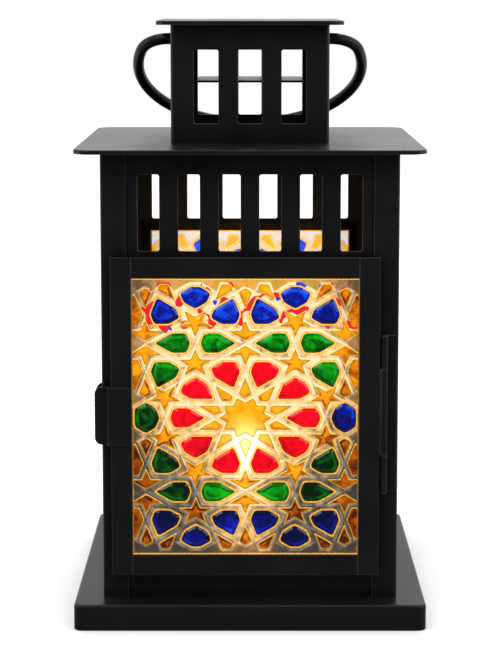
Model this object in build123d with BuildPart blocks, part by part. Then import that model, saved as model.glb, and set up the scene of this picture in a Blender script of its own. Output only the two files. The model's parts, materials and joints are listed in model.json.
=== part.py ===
from build123d import *
import cmath
import math
import os

# A fanous: a square sheet-steel candle lantern with jewelled glass walls, a hinged door and a carrying bail.
# Millimetres. The origin is the middle of the footprint, +Z is up and the door faces -Y.

# Base
base_width = 163.0
base_height = 12.0
base_wall = 1.2
base_corner_radius = 4.0
base_edge_radius = 1.4

# Body of the lantern
base_ledge = 13.0
body_height = 208.2
post_width = 11.7
post_thickness = 1.0
post_bend_radius = 1.6
panel_thickness = 1.0
panel_clearance = 0.1

# Vent slots along the top of every wall
slot_count = 6
slot_bar = 8.6
slot_height = 35.3
slot_side_margin = 12.7
slot_radius = 1.0
slot_drop = 10.0

# Roof plate
roof_overhang = 11.7
roof_thickness = 2.0
roof_corner_radius = 9.0
roof_edge_radius = 0.6
throat_ledge = 1.3

# Chimney, its cap and the heat shield inside it
chimney_width = 74.6
chimney_height = 55.4
chimney_wall = 1.0
chimney_bend_radius = 2.2
chimney_flange = 6.0
vent_count = 3
vent_bar = 9.0
vent_height = 34.6
vent_side_margin = 6.4
vent_radius = 1.0
vent_sill = 9.2
cap_overhang = 6.7
cap_thickness = 2.0
cap_corner_radius = 7.0
cap_edge_radius = 0.6
shield_side_gap = 11.8
shield_thickness = 1.0
shield_height = 28.0
shield_tab_width = 6.0

# Carrying bail
bail_diameter = 5.5
bail_finger_room = 18.2
bail_throw = 26.0
bail_bend_radius = 14.0
bail_pivot_drop = 7.2
bail_end = 5.0
bail_rest_gap = 0.3
pivot_clearance = 0.05
push_nut_radius = 5.0
push_nut_thickness = 0.8
push_nut_gap = 0.3

# Glass: the door's window is a little lower than those of the fixed walls
window_side_margin = 16.25
window_low_margin = 21.6
window_top_margin = 57.2
fixed_window_top_margin = 51.6
glass_thickness = 2.0
glass_overlap = 4.0
clip_width = 8.0
clip_thickness = 0.6
clip_foot = 4.0
clip_lip = 2.8
clip_gap = 0.2
clip_end_margin = 18.7

# Geometric jewel pattern: a ten-fold star pattern, drawn wider than tall
pattern_count_across = 5.97
pattern_count_up = 9.24
contact_angle = 72.0
strap_ratio = 0.103
gilt_ratio = 0.034
bezel_ratio = 0.05
jewel_height = 1.3
jewel_taper = 35.0
inlay_height = 0.8
pattern_margin = 0.6
lozenge_width_ratio = 0.5
lozenge_height_ratio = 0.7
shoulder_width_ratio = 0.357
shoulder_height_ratio = 0.441

# Door
door_left_margin = 4.5
door_stile_width = 9.6
door_rail_width = 9.7
door_depth = 3.2
door_sheet = 0.8
door_gap = 1.3
door_edge_radius = 0.5
doorway_margin = 1.5

# Hinge
hinge_gap = 0.3
hinge_low_margin = 38.9
hinge_top_margin = 36.4
hinge_low_knuckle = 17.6
hinge_top_knuckle = 15.2
knuckle_radius = 1.7
knuckle_gap = 0.3
leaf_thickness = 0.7
leaf_width = 6.0
leaf_inset = 0.2
pin_radius = 0.85
pin_clearance = 0.05
pin_head_radius = 1.4
pin_head_height = 0.5

# Spring latch on the free edge of the door
latch_height = 27.2
latch_rise = 0.6
latch_sheet = 0.8
latch_step = 2.6
latch_overhang = 3.1
latch_corner_radius = 3.4
latch_flange = 8.0
latch_nip_length = 2.5
latch_clearance = 0.3

# Flameless pillar candle
candle_radius = 25.0
candle_height = 52.0
candle_rim = 4.0
candle_melt = 6.0
flame_radius = 4.6
flame_height = 22.0
flame_stem_radius = 2.6
flame_stem = 3.0
flame_clearance = 0.1

# Sizes, heights and faces that follow from the sizes above
body_width = base_width - 2 * base_ledge
slot_pitch = (body_width - 2 * slot_side_margin) / slot_count
slot_width = slot_pitch - slot_bar
roof_width = body_width + 2 * roof_overhang
vent_pitch = (chimney_width - 2 * vent_side_margin) / vent_count
vent_width = vent_pitch - vent_bar
cap_width = chimney_width + 2 * cap_overhang
shield_width = chimney_width - 2 * shield_side_gap
bail_half_span = chimney_width / 2 + bail_finger_room
window_width = body_width - 2 * window_side_margin
window_height = body_height - window_low_margin - window_top_margin
fixed_window_height = body_height - window_low_margin - fixed_window_top_margin
window_sill = base_height + window_low_margin
window_middle = window_sill + window_height / 2
fixed_window_middle = window_sill + fixed_window_height / 2
pattern_unit_x = window_width / pattern_count_across
strap_width = strap_ratio * pattern_unit_x
gilt_width = gilt_ratio * pattern_unit_x
jewel_bezel = bezel_ratio * pattern_unit_x
roof_bottom = base_height + body_height
roof_top = roof_bottom + roof_thickness
chimney_top = roof_top + chimney_height
pivot_height = chimney_top - bail_pivot_drop
half_body = body_width / 2
panel_face = half_body - post_thickness
glass_face = panel_face - panel_thickness
chimney_inside = chimney_width / 2 - chimney_wall
throat_width = 2 * (chimney_inside - chimney_flange - throat_ledge)
door_left = door_left_margin - half_body
door_right = door_left + 2 * door_stile_width + window_width
door_middle = (door_left + door_right) / 2
door_bottom = window_sill - door_rail_width
door_top = window_sill + window_height + door_rail_width
door_back = half_body + door_gap
door_face = door_back + door_depth
door_glass_face = door_face - door_sheet
hinge_x = door_right + hinge_gap + knuckle_radius
hinge_y = -(door_back + door_face) / 2
hinge_low = door_bottom + hinge_low_margin
hinge_top = door_top - hinge_top_margin
latch_middle = window_middle + latch_rise
golden = (1 + math.sqrt(5)) / 2
contact_rise = math.sin(math.radians(contact_angle))
contact_run = math.cos(math.radians(contact_angle))
decagon_apothem = 0.5 / math.tan(math.radians(18))
pentagon_apothem = 0.5 / math.tan(math.radians(36))
star_notch = math.sin(math.radians(36))
small_notch = pentagon_apothem / golden ** 2
walls = {"front": 0, "right": 90, "rear": 180, "left": 270}

os.makedirs("parts", exist_ok=True)


def save(piece, name):
    """Label a finished piece and write it under its own name."""
    piece.part.label = name
    export_step(piece.part, f"parts/{name}.step")


def wall_plane(turn, distance, across=0.0, height=0.0):
    """Plane on one wall, facing out: local x runs to the right as seen from outside, local y runs up."""
    out = Vector(0, -1, 0).rotate(Axis.Z, turn)
    right = Vector(1, 0, 0).rotate(Axis.Z, turn)
    origin = out * distance + right * across + Vector(0, 0, height)
    return Plane(origin=origin, x_dir=right, z_dir=out)


# Base: a pressed tray turned upside down, whose top is the floor of the lantern
with BuildPart() as base_tray:
    with BuildSketch():
        RectangleRounded(base_width, base_width, base_corner_radius)
    extrude(amount=base_height)
    fillet(base_tray.faces().sort_by(Axis.Z)[-1].edges(), base_edge_radius)
    with BuildSketch():
        inner_width = base_width - 2 * base_wall
        RectangleRounded(inner_width, inner_width, base_corner_radius - base_wall)
    extrude(amount=base_height - base_wall, mode=Mode.SUBTRACT)
save(base_tray, "base_tray")


# Corner posts: folded angles that stand on the base and carry the roof
corners = {"front_left": 0, "front_right": 90, "rear_right": 180, "rear_left": 270}
for corner, turn in corners.items():
    foot = Plane((0, 0, base_height), x_dir=Vector(1, 0, 0).rotate(Axis.Z, turn), z_dir=(0, 0, 1))
    with BuildPart() as post:
        with BuildSketch(foot) as angle:
            with Locations((-half_body, -half_body)):
                Rectangle(post_width, post_width, align=Align.MIN)
            with Locations((-half_body + post_thickness, -half_body + post_thickness)):
                Rectangle(post_width, post_width, align=Align.MIN, mode=Mode.SUBTRACT)
            heel = angle.vertices().sort_by(Axis((0, 0, 0), (1, 1, 0)))[0]
            fillet(heel, post_bend_radius)
        extrude(amount=body_height)
    save(post, f"{corner}_post")


# Wall panels: sheets behind the posts, pierced by the vent slots and by the window or the doorway
panel_width = 2 * (glass_face - panel_clearance)
slot_middle = roof_bottom - slot_drop - slot_height / 2
for wall, turn in walls.items():
    with BuildPart() as panel:
        with BuildSketch(wall_plane(turn, panel_face, 0, base_height)):
            Rectangle(panel_width, body_height, align=(Align.CENTER, Align.MIN))
            with Locations((0, slot_middle - base_height)):
                with GridLocations(slot_pitch, 0, slot_count, 1):
                    RectangleRounded(slot_width, slot_height, slot_radius, mode=Mode.SUBTRACT)
            if wall == "front":
                with Locations((door_middle, window_middle - base_height)):
                    doorway = (window_width + doorway_margin, window_height + doorway_margin)
                    Rectangle(*doorway, mode=Mode.SUBTRACT)
            else:
                with Locations((0, fixed_window_middle - base_height)):
                    Rectangle(window_width, fixed_window_height, mode=Mode.SUBTRACT)
        extrude(amount=-panel_thickness)
    save(panel, f"{wall}_panel")


# Roof plate, with a throat under the chimney
with BuildPart() as roof_plate:
    with BuildSketch(Plane.XY.offset(roof_bottom)):
        RectangleRounded(roof_width, roof_width, roof_corner_radius)
    extrude(amount=roof_thickness)
    fillet(roof_plate.faces().sort_by(Axis.Z)[-1].edges(), roof_edge_radius)
    with BuildSketch(Plane.XY.offset(roof_bottom)):
        Rectangle(throat_width, throat_width)
    extrude(amount=roof_thickness, mode=Mode.SUBTRACT)
save(roof_plate, "roof_plate")


# Chimney: a folded square tube with a foot flange, tall vents in every wall and the pivot holes of the bail
with BuildPart() as chimney:
    with BuildSketch(Plane.XY.offset(roof_top)):
        RectangleRounded(chimney_width, chimney_width, chimney_bend_radius)
    extrude(amount=chimney_height)
    with BuildSketch(Plane.XY.offset(roof_top + chimney_wall)):
        RectangleRounded(2 * chimney_inside, 2 * chimney_inside, chimney_bend_radius - chimney_wall)
    extrude(amount=chimney_height - chimney_wall, mode=Mode.SUBTRACT)
    with BuildSketch(Plane.XY.offset(roof_top)):
        foot_opening = 2 * (chimney_inside - chimney_flange)
        Rectangle(foot_opening, foot_opening)
    extrude(amount=chimney_wall, mode=Mode.SUBTRACT)
    for turn in (0, 90):
        with BuildSketch(wall_plane(turn, 0, 0, roof_top + vent_sill + vent_height / 2)):
            with GridLocations(vent_pitch, 0, vent_count, 1):
                RectangleRounded(vent_width, vent_height, vent_radius)
        extrude(amount=chimney_width, both=True, mode=Mode.SUBTRACT)
    with BuildSketch(Plane.YZ):
        with Locations((0, pivot_height)):
            Circle(bail_diameter / 2 + pivot_clearance)
    extrude(amount=chimney_width, both=True, mode=Mode.SUBTRACT)
save(chimney, "chimney")


# Cap plate on the chimney
with BuildPart() as cap_plate:
    with BuildSketch(Plane.XY.offset(chimney_top)):
        RectangleRounded(cap_width, cap_width, cap_corner_radius)
    extrude(amount=cap_thickness)
    fillet(cap_plate.faces().sort_by(Axis.Z)[-1].edges(), cap_edge_radius)
save(cap_plate, "cap_plate")


# Heat shield: a plate across the chimney, held by four tabs behind the bars between the vents
with BuildPart() as heat_shield:
    with BuildSketch(Plane.XY.offset(roof_top + shield_height)):
        Rectangle(shield_width, shield_width)
        with GridLocations(vent_pitch, 0, vent_count - 1, 1):
            Rectangle(shield_tab_width, 2 * chimney_inside)
    extrude(amount=shield_thickness)
save(heat_shield, "heat_shield")


# Bail: one bent rod that hangs in the chimney's side walls and lies back on the roof
bail_length = bail_throw + bail_half_span
bail_tip_height = roof_top + bail_rest_gap + bail_diameter / 2
bail_droop = math.asin((pivot_height - bail_tip_height) / bail_length)
bail_normal = (0, math.sin(bail_droop), math.cos(bail_droop))
bail_plane = Plane((0, 0, pivot_height), x_dir=(1, 0, 0), z_dir=bail_normal)
bend_reach = math.sqrt((bail_half_span - bail_bend_radius) ** 2 - (bail_throw - bail_bend_radius) ** 2)
bend_exit = math.degrees(math.atan2(bail_bend_radius - bail_throw, bend_reach))
bail_inner_end = chimney_inside - bail_end
with BuildPart() as bail:
    with BuildLine(bail_plane) as bail_path:
        Line((bail_inner_end, 0), (bend_reach, 0))
        CenterArc((bend_reach, bail_bend_radius), bail_bend_radius, -90, 90 + bend_exit)
        CenterArc((0, bail_throw), bail_half_span, bend_exit, 180 - 2 * bend_exit)
        CenterArc((-bend_reach, bail_bend_radius), bail_bend_radius, 180 - bend_exit, 90 + bend_exit)
        Line((-bend_reach, 0), (-bail_inner_end, 0))
    with BuildSketch(Plane((bail_inner_end, 0, pivot_height), x_dir=(0, 1, 0), z_dir=(1, 0, 0))):
        Circle(bail_diameter / 2)
    sweep(path=bail_path.wire())
save(bail, "bail")

with BuildPart() as bail_push_nuts:
    for side in (1, -1):
        nut_face = side * (chimney_inside - push_nut_gap)
        with BuildSketch(Plane.YZ.offset(nut_face)):
            with Locations((0, pivot_height)):
                Circle(push_nut_radius)
                Circle(bail_diameter / 2 + pivot_clearance, mode=Mode.SUBTRACT)
        extrude(amount=-side * push_nut_thickness)
save(bail_push_nuts, "bail_push_nuts")


def polar(radius, degrees):
    """Point of the pattern, in pattern units."""
    return cmath.rect(radius, math.radians(degrees))


def petal(vertex, *edges):
    """Cell round one corner of the underlying tiling, whose edges leave it in the given directions."""
    points = []
    for first, second in zip(edges, edges[1:] + (edges[0] + 360,)):
        half = (second - first) / 2
        inner = 0.5 * contact_rise / math.sin(math.radians(contact_angle + half))
        points.append(vertex + polar(0.5, first))
        points.append(vertex + polar(inner, first + half))
    return points


def shield(vertex, tip):
    """Six-sided petal whose long point looks in the direction tip."""
    return petal(vertex, tip + contact_angle, tip + 180, tip + 360 - contact_angle)


def star(centre, rays, outer, inner, first):
    """Star with straight sides."""
    step = 180 / rays
    return [centre + polar(inner if k % 2 else outer, first + k * step) for k in range(2 * rays)]


def kite(centre, degrees):
    """Arm of a ten-pointed star, between two petals."""
    corners = ((star_notch, 0), (golden / 2, -18), (decagon_apothem, 0), (golden / 2, 18))
    return [centre + polar(radius, degrees + turn) for radius, turn in corners]


def dart(centre, up):
    """Half of the figure inside a six-sided tile, pinched at the tile's centre."""
    wing = complex(golden ** 2 / 4, contact_rise / 2)
    neck = complex(contact_run / 2, contact_rise / 2)
    half = [0j, -wing.conjugate(), -neck.conjugate(), contact_rise * 1j, neck, wing]
    return [centre + (p if up else -p) for p in half]


def mirrored(cells):
    """Repeat cells of the upper right quarter in all four quarters."""
    copies = []
    for flip in (lambda p: p, lambda p: -p.conjugate(), lambda p: -p, lambda p: p.conjugate()):
        copies += [[flip(p) for p in cell] for cell in cells]
    return copies


def jewel_pattern():
    """All cells of one pane by colour, in pattern units round the pane's centre."""
    row = decagon_apothem + contact_rise
    crown = row + contact_rise
    far = 2 * row
    side = golden + 1
    wedge = complex(side / 2, crown + star_notch)
    shoulder = complex(shoulder_width_ratio, shoulder_height_ratio)
    quarters = [complex(lozenge_width_ratio, 0), shoulder, lozenge_height_ratio * 1j, -shoulder.conjugate()]
    lozenge = quarters + [-p for p in quarters]
    ring = [polar(decagon_apothem + pentagon_apothem, turn) for turn in (18, 54)]
    red = [shield(polar(golden, 36 * k), 36 * k + 180) for k in range(10)]
    green = mirrored([
        shield(polar(side, 36), 288),
        shield(polar(side, 72), 180),
        shield(complex(side / 2 + 0.5, row), 0),
    ])
    green.append([p - side for p in lozenge])
    blue = mirrored([
        shield(complex(0.5, crown), 108),
        shield(complex(side - 0.5, crown), 72),
        petal(wedge, 72, 108, 216, 324),
    ])
    blue.append([p + side for p in lozenge])
    amber = [star(0, 10, golden / 2, star_notch, 0)]
    amber += [kite(0, 18 + 36 * k) for k in range(10)]
    amber += mirrored([star(ring[0], 5, pentagon_apothem, small_notch, 198)])
    amber += mirrored([star(ring[1], 5, pentagon_apothem, small_notch, 234)])
    amber += mirrored([star(complex(side / 2, crown - small_notch), 5, pentagon_apothem, small_notch, -90)])
    amber += mirrored([kite(complex(0, far), -54)])
    amber += mirrored([kite(complex(side, far), -126), kite(complex(side, far), -90)])
    amber += mirrored([kite(complex(side, 0), 90)])
    amber += mirrored([dart(complex(side, row), True), dart(complex(side, row), False)])
    amber += mirrored([shield(complex(side + 0.5, decagon_apothem), 252)])
    amber += mirrored([shield(complex(side + 0.5, crown), 108)])
    for up in (1, -1):
        amber.append(kite(complex(0, up * far), -90 * up))
        amber += [dart(complex(0, up * row), True), dart(complex(0, up * row), False)]
    return {"red": red, "green": green, "blue": blue, "amber": amber}


def clipped(points, limit, turn):
    """Cut a polygon off where it passes the limit in the direction of the unit number turn."""
    kept = []
    for last, point in zip(points[-1:] + points[:-1], points):
        gap_last = limit - (last * turn.conjugate()).real
        gap = limit - (point * turn.conjugate()).real
        if gap * gap_last < 0:
            kept.append(last + (point - last) * gap_last / (gap_last - gap))
        if gap >= 0:
            kept.append(point)
    return kept


def inset(points, amount):
    """Draw every side of a polygon inwards by the same amount."""
    area = sum((a.conjugate() * b).imag for a, b in zip(points, points[1:] + points[:1]))
    ring = points if area > 0 else points[::-1]
    normals = []
    for a, b in zip(ring, ring[1:] + ring[:1]):
        normals.append(1j * (b - a) / abs(b - a))
    moved = []
    for p, before, after in zip(ring, normals[-1:] + normals[:-1], normals):
        moved.append(p + amount * (before + after) / (1 + (before * after.conjugate()).real))
    return moved


def cell_outline(cell, height, bezel):
    """Outline of one jewel round the centre of a window of that height, or None where the frame hides it."""
    pattern_unit_z = height / pattern_count_up
    outline = [complex(p.real * pattern_unit_x, p.imag * pattern_unit_z) for p in cell]
    half_width = window_width / 2 - pattern_margin
    half_height = height / 2 - pattern_margin
    outline = inset(outline, strap_width / 2 + gilt_width + bezel)
    for limit, turn in ((half_width, 1), (half_width, -1), (half_height, 1j), (half_height, -1j)):
        outline = clipped(outline, limit, complex(turn))
        if len(outline) < 3:
            return None
    return [(p.real, p.imag) for p in outline]


# Glass panes with their jewels: coloured glass cut to the cells of the pattern and set on the outer face
pane_width = window_width + 2 * glass_overlap
pattern = jewel_pattern()
for wall, turn in walls.items():
    if wall == "front":
        height = window_height
        pane_plane = wall_plane(turn, door_glass_face, door_middle, window_middle)
    else:
        height = fixed_window_height
        pane_plane = wall_plane(turn, glass_face, 0, fixed_window_middle)
    with BuildPart() as pane:
        with BuildSketch(pane_plane):
            Rectangle(pane_width, height + 2 * glass_overlap)
        extrude(amount=-glass_thickness)
    save(pane, f"{wall}_pane")
    for colour, cells in pattern.items():
        bezel = 0.0 if colour == "amber" else jewel_bezel
        drawn = [cell_outline(cell, height, bezel) for cell in cells]
        outlines = [outline for outline in drawn if outline]
        with BuildPart() as jewels:
            with BuildSketch(pane_plane):
                for outline in outlines:
                    Polygon(*outline, align=None)
            if colour == "amber":
                extrude(amount=inlay_height)
            else:
                extrude(amount=jewel_height, taper=jewel_taper)
        save(jewels, f"{wall}_jewels_{colour}")


# Clips behind the fixed panes: bent tabs on the panel that press on the back of the glass
clip_reach = window_height / 2 - clip_end_margin
clip_levels = [window_middle + level * clip_reach - clip_width / 2 for level in (1, -1)]
for wall, turn in walls.items():
    if wall == "front":
        continue
    with BuildPart() as clips:
        for level in clip_levels:
            shelf = wall_plane(turn, glass_face, 0, level)
            shelf = Plane(shelf.origin, x_dir=shelf.x_dir, z_dir=(0, 0, 1))
            with BuildSketch(shelf):
                for side, inner in ((1, Align.MIN), (-1, Align.MAX)):
                    riser = side * (pane_width / 2 + clip_gap)
                    lip = side * (pane_width / 2 - clip_lip)
                    with Locations((riser, 0)):
                        Rectangle(clip_foot, clip_thickness, align=(inner, Align.MIN))
                        Rectangle(clip_thickness, glass_thickness + clip_thickness, align=(inner, Align.MIN))
                    with Locations((lip, glass_thickness)):
                        Rectangle(clip_lip + clip_gap, clip_thickness, align=(inner, Align.MIN))
            extrude(amount=clip_width)
    save(clips, f"{wall}_pane_clips")


# Door frame: two stiles and two rails folded from sheet, with the glass behind their faces
door_height = door_top - door_bottom
for side, edge, inner in (("left", door_left, Align.MIN), ("right", door_right, Align.MAX)):
    with BuildPart() as stile:
        with BuildSketch(Plane.XY.offset(door_bottom)) as profile:
            with Locations((edge, -door_face)):
                Rectangle(door_stile_width, door_sheet, align=(inner, Align.MIN))
                Rectangle(door_sheet, door_depth, align=(inner, Align.MIN))
            outer = Axis((0, 0, 0), (1 if side == "left" else -1, 1, 0))
            fillet(profile.vertices().sort_by(outer)[0], door_edge_radius)
        extrude(amount=door_height)
    save(stile, f"door_{side}_stile")

for level, edge, inner in (("bottom", door_bottom, Align.MIN), ("top", door_top, Align.MAX)):
    with BuildPart() as rail:
        with BuildSketch(Plane.YZ.offset(door_left + door_stile_width)):
            with Locations((-door_face, edge)):
                Rectangle(door_sheet, door_rail_width, align=(Align.MIN, inner))
                Rectangle(door_depth, door_sheet, align=(Align.MIN, inner))
        extrude(amount=window_width)
    save(rail, f"door_{level}_rail")

# Clips inside the stiles that hold the door's glass
door_glass_back = door_glass_face - glass_thickness
with BuildPart() as door_clips:
    for level in clip_levels:
        with BuildSketch(Plane.XY.offset(level)):
            for edge, inner in ((door_left + door_sheet, Align.MIN), (door_right - door_sheet, Align.MAX)):
                lip_length = (door_right - door_left - pane_width) / 2 - door_sheet + clip_lip
                with Locations((edge, -door_glass_back)):
                    Rectangle(lip_length, clip_thickness, align=(inner, Align.MIN))
                    Rectangle(clip_thickness, glass_thickness, align=(inner, Align.MAX))
        extrude(amount=clip_width)
save(door_clips, "door_pane_clips")


# Hinge: two knuckles on the right front post, one on the door, and the pin through all three
hinge_length = hinge_top - hinge_low
middle_low = hinge_low + hinge_low_knuckle
middle_top = hinge_top - hinge_top_knuckle
with BuildPart() as post_leaf:
    with BuildSketch(Plane.XY.offset(hinge_low)):
        with Locations((hinge_x, -half_body)):
            Rectangle(leaf_width, leaf_thickness, align=(Align.MIN, Align.MAX))
    extrude(amount=hinge_length)
    for low, high in ((hinge_low, middle_low), (middle_top, hinge_top)):
        with BuildSketch(Plane.XY.offset(low)):
            with Locations((hinge_x, hinge_y)):
                Circle(knuckle_radius)
            with Locations((hinge_x + knuckle_radius, hinge_y)):
                Rectangle(leaf_thickness, -half_body - hinge_y, align=(Align.MAX, Align.MIN))
            with Locations((hinge_x, hinge_y)):
                Circle(pin_radius + pin_clearance, mode=Mode.SUBTRACT)
        extrude(amount=high - low)
save(post_leaf, "hinge_post_leaf")

with BuildPart() as door_leaf:
    with BuildSketch(Plane.XY.offset(middle_low + knuckle_gap)):
        with Locations((hinge_x, hinge_y)):
            Circle(knuckle_radius)
        with Locations((door_right, hinge_y)):
            Rectangle(leaf_thickness, door_depth - leaf_inset, align=(Align.MIN, Align.CENTER))
        with Locations((hinge_x, hinge_y)):
            Circle(pin_radius + pin_clearance, mode=Mode.SUBTRACT)
    extrude(amount=middle_top - middle_low - 2 * knuckle_gap)
save(door_leaf, "hinge_door_leaf")

with BuildPart() as hinge_pin:
    with BuildSketch(Plane.XY.offset(hinge_low)):
        with Locations((hinge_x, hinge_y)):
            Circle(pin_radius)
    extrude(amount=hinge_length)
    for level, head in ((hinge_low, -pin_head_height), (hinge_top, pin_head_height)):
        with BuildSketch(Plane.XY.offset(level)):
            with Locations((hinge_x, hinge_y)):
                Circle(pin_head_radius)
        extrude(amount=head)
save(hinge_pin, "hinge_pin")


# Spring latch: a bent strip on the left stile that steps back past the door and nips the side of the post
strip_front = -(door_face + latch_sheet / 2)
strip_back = strip_front + latch_step
strip_side = -(half_body + latch_overhang - latch_sheet / 2)
step_start = door_left - latch_sheet
nip_side = -(half_body + latch_clearance + latch_sheet / 2)
nip_start = strip_back + latch_flange
with BuildPart() as latch:
    with BuildSketch(Plane.XY.offset(latch_middle - latch_height / 2)):
        with BuildLine():
            Polyline(
                (door_left + door_stile_width, strip_front),
                (step_start, strip_front),
                (step_start - latch_sheet, strip_back),
                (strip_side, strip_back),
                (strip_side, nip_start),
                (nip_side, nip_start + latch_nip_length),
            )
        trace(line_width=latch_sheet)
    extrude(amount=latch_height)
    with BuildSketch(wall_plane(0, 0, -half_body - latch_overhang, latch_middle)):
        RectangleRounded(body_width, latch_height, latch_corner_radius, align=(Align.MIN, Align.CENTER))
    extrude(amount=body_width, mode=Mode.INTERSECT)
save(latch, "latch")


# Flameless candle on the floor: a wax pillar with a sunken top and a flame-shaped tip
candle_top = base_height + candle_height
melt_floor = candle_top - candle_melt
with BuildPart() as candle_body:
    with BuildSketch(Plane.XZ):
        with BuildLine():
            Polyline((0, melt_floor), (0, base_height), (candle_radius, base_height))
            Line((candle_radius, base_height), (candle_radius, candle_top - candle_rim / 2))
            ThreePointArc(
                (candle_radius, candle_top - candle_rim / 2),
                (candle_radius - candle_rim / 2, candle_top),
                (candle_radius - candle_rim, candle_top - candle_rim / 2),
            )
            Line((candle_radius - candle_rim, candle_top - candle_rim / 2), (0, melt_floor))
        make_face()
    revolve(axis=Axis.Z)
    with BuildSketch(Plane.XY.offset(melt_floor - flame_stem)):
        Circle(flame_stem_radius + flame_clearance)
    extrude(amount=candle_height, mode=Mode.SUBTRACT)
save(candle_body, "candle_body")

flame_bottom = melt_floor - flame_stem
flame_belly = melt_floor + flame_height / 3
with BuildPart() as candle_flame:
    with BuildSketch(Plane.XZ) as profile:
        with BuildLine():
            Polyline(
                (0, flame_bottom),
                (flame_stem_radius, flame_bottom),
                (flame_stem_radius, melt_floor + flame_clearance),
                (flame_radius, flame_belly),
                (0, melt_floor + flame_height),
                close=True,
            )
        make_face()
        fillet(profile.vertices().sort_by(Axis.X)[-1], flame_radius)
    revolve(axis=Axis.Z)
save(candle_flame, "candle_flame")
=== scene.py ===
"""Looks of the lantern: satin black sheet steel, jewelled glass walls lit by a candle, and a pale studio."""

import cmath
import json
import math

import bmesh
import bpy
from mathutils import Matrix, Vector


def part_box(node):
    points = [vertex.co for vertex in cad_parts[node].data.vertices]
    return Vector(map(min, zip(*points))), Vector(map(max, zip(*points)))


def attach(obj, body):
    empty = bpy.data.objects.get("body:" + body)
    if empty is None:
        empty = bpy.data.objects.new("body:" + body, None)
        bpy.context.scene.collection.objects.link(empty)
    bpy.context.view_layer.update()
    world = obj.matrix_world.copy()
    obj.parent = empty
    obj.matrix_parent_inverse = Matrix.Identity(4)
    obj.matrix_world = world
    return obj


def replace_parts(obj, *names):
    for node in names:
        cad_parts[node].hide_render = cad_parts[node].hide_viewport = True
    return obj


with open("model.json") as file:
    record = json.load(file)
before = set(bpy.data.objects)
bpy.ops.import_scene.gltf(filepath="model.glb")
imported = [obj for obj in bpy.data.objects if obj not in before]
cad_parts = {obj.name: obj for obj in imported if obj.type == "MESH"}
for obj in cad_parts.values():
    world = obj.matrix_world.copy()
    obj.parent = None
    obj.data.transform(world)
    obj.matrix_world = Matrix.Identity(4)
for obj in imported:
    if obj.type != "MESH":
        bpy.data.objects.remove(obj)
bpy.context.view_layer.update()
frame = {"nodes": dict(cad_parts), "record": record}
nodes = frame["nodes"]
scene = bpy.context.scene
scene.view_settings.view_transform = "Standard"

MM = 0.001

# Walls by the angle that each is turned from the front, and the body that each pane moves with
walls = {"front": 0, "right": 90, "rear": 180, "left": 270}
wall_body = {"front": "door", "right": "lantern", "rear": "lantern", "left": "lantern"}

# Glass and pattern, as in the part's source: millimetres, and pattern units across and up the window
glass_overlap = 4.0
pattern_count_across = 5.97
pattern_count_up = 9.24
strap_width = 1.8
gilt_width = 0.6
jewel_bezel = 0.65
pattern_margin = 0.6

# Distance from the middle of a strap to an amber inlay and to a jewel
amber_edge = strap_width / 2 + gilt_width
jewel_edge = amber_edge + jewel_bezel

# Cut of the jewels and the amber inlays, in millimetres
stone_sink = 0.4
jewel_height = 1.3
jewel_girdle = 0.35
jewel_shoulder = 1.05
jewel_shoulder_inset = 1.0
jewel_table_inset = 2.2
jewel_rounding = 1.3
inlay_height = 0.8
inlay_girdle = 0.45
inlay_table_inset = 0.75
inlay_rounding = 0.8

# Longest share of a side that the rounding of a corner takes
rounding_share = 0.33

# How the facets of a stone take the light, next to 1 for a plain facet
table_shade = 0.9
inside_shade = 1.9
rim_shade = 0.6
inlay_rim_shade = 0.55
bevel_swing = 0.7

# Raised straps, the ground between them and the gold lines, in millimetres
strap_height = 0.45
strap_tuck = 0.4
ground_height = 0.02
gilt_height = 0.6
amber_line = 0.7
jewel_line = 0.85
border_width = 0.6

# Where the ridge of a gold line stands across its width, and how its outer and inner slopes take the light
ridge_share = 0.36
amber_slopes = (0.9, 0.1)
jewel_slopes = (0.0, 1.0)
border_shades = (1.0, 0.0)

# Facet value that marks the ground in the mesh of the straps, and the limit below which it is known by it
ground_mark = 0.0
ground_limit = 0.05

# Light on a pane: places from the pane's centre and half sizes of its ellipses, in millimetres
hot_spot = (0.0, -14.0)
hot_size = (13.0, 18.0)
near_flame_size = (34.0, 32.0)
upper_light = (0.0, 28.0)
upper_light_size = (60.0, 66.0)
column_light = (0.0, -22.0)
column_light_size = (25.0, 62.0)
column_level = 0.8

# Painted refraction in the door's straps, small red and blue patches that stand for the rear pane's stones
# seen
# through them: heights between which they set in, in millimetres from the pane's centre, limits of the noise
# over which they are red and blue, and where the blue noise is taken from
refraction_low = 30.0
refraction_high = 46.0
red_limit = 0.61
blue_limit = 0.75
blue_shift = (137.0, 61.0, 0.0)

# How much of what lies behind the straps hide
door_cover = 0.82
wall_cover = 0.45

# Black steel, in millimetres: radius of the soft edges and reach of the painted shade in corners and
# recesses. The turn is the cosine at which the painted highlight on an edge is palest
edge_radius = 0.55
highlight_turn = 0.72
painted_shade_reach = 20.0

# Candle: heights over the ground and size of its light in millimetres
wax_glow_low = 20.0
wax_glow_high = 66.0
flame_low = 56.0
flame_high = 80.0
candle_light_height = 92.0
candle_light_radius = 6.0
candle_light_watts = 0.35

# Studio, in metres
floor_half_size = 4.0
floor_gap = 0.2 * MM
floor_shade_near = 0.1
floor_shade_far = 0.6
contact_reach = 0.03
light_aim = Vector((0, 0, 0.13))

# Levels of the studio, where 1 is white: floor beside the lantern, contact shadow, the dark card at the
# camera that gloss shows, and the light from all round
floor_level = 0.66
contact_level = 0.2
card_level = 0.14
surround_level = 0.55

# Camera: place in metres, degrees that it looks down, lens in millimetres
camera_place = (0.0, -0.950, 0.290)
camera_pitch = 7.12
camera_lens = 104.9
camera_sensor = 36.0
camera_shift = -0.139
camera_clip = 0.01


# Shader helpers

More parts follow.
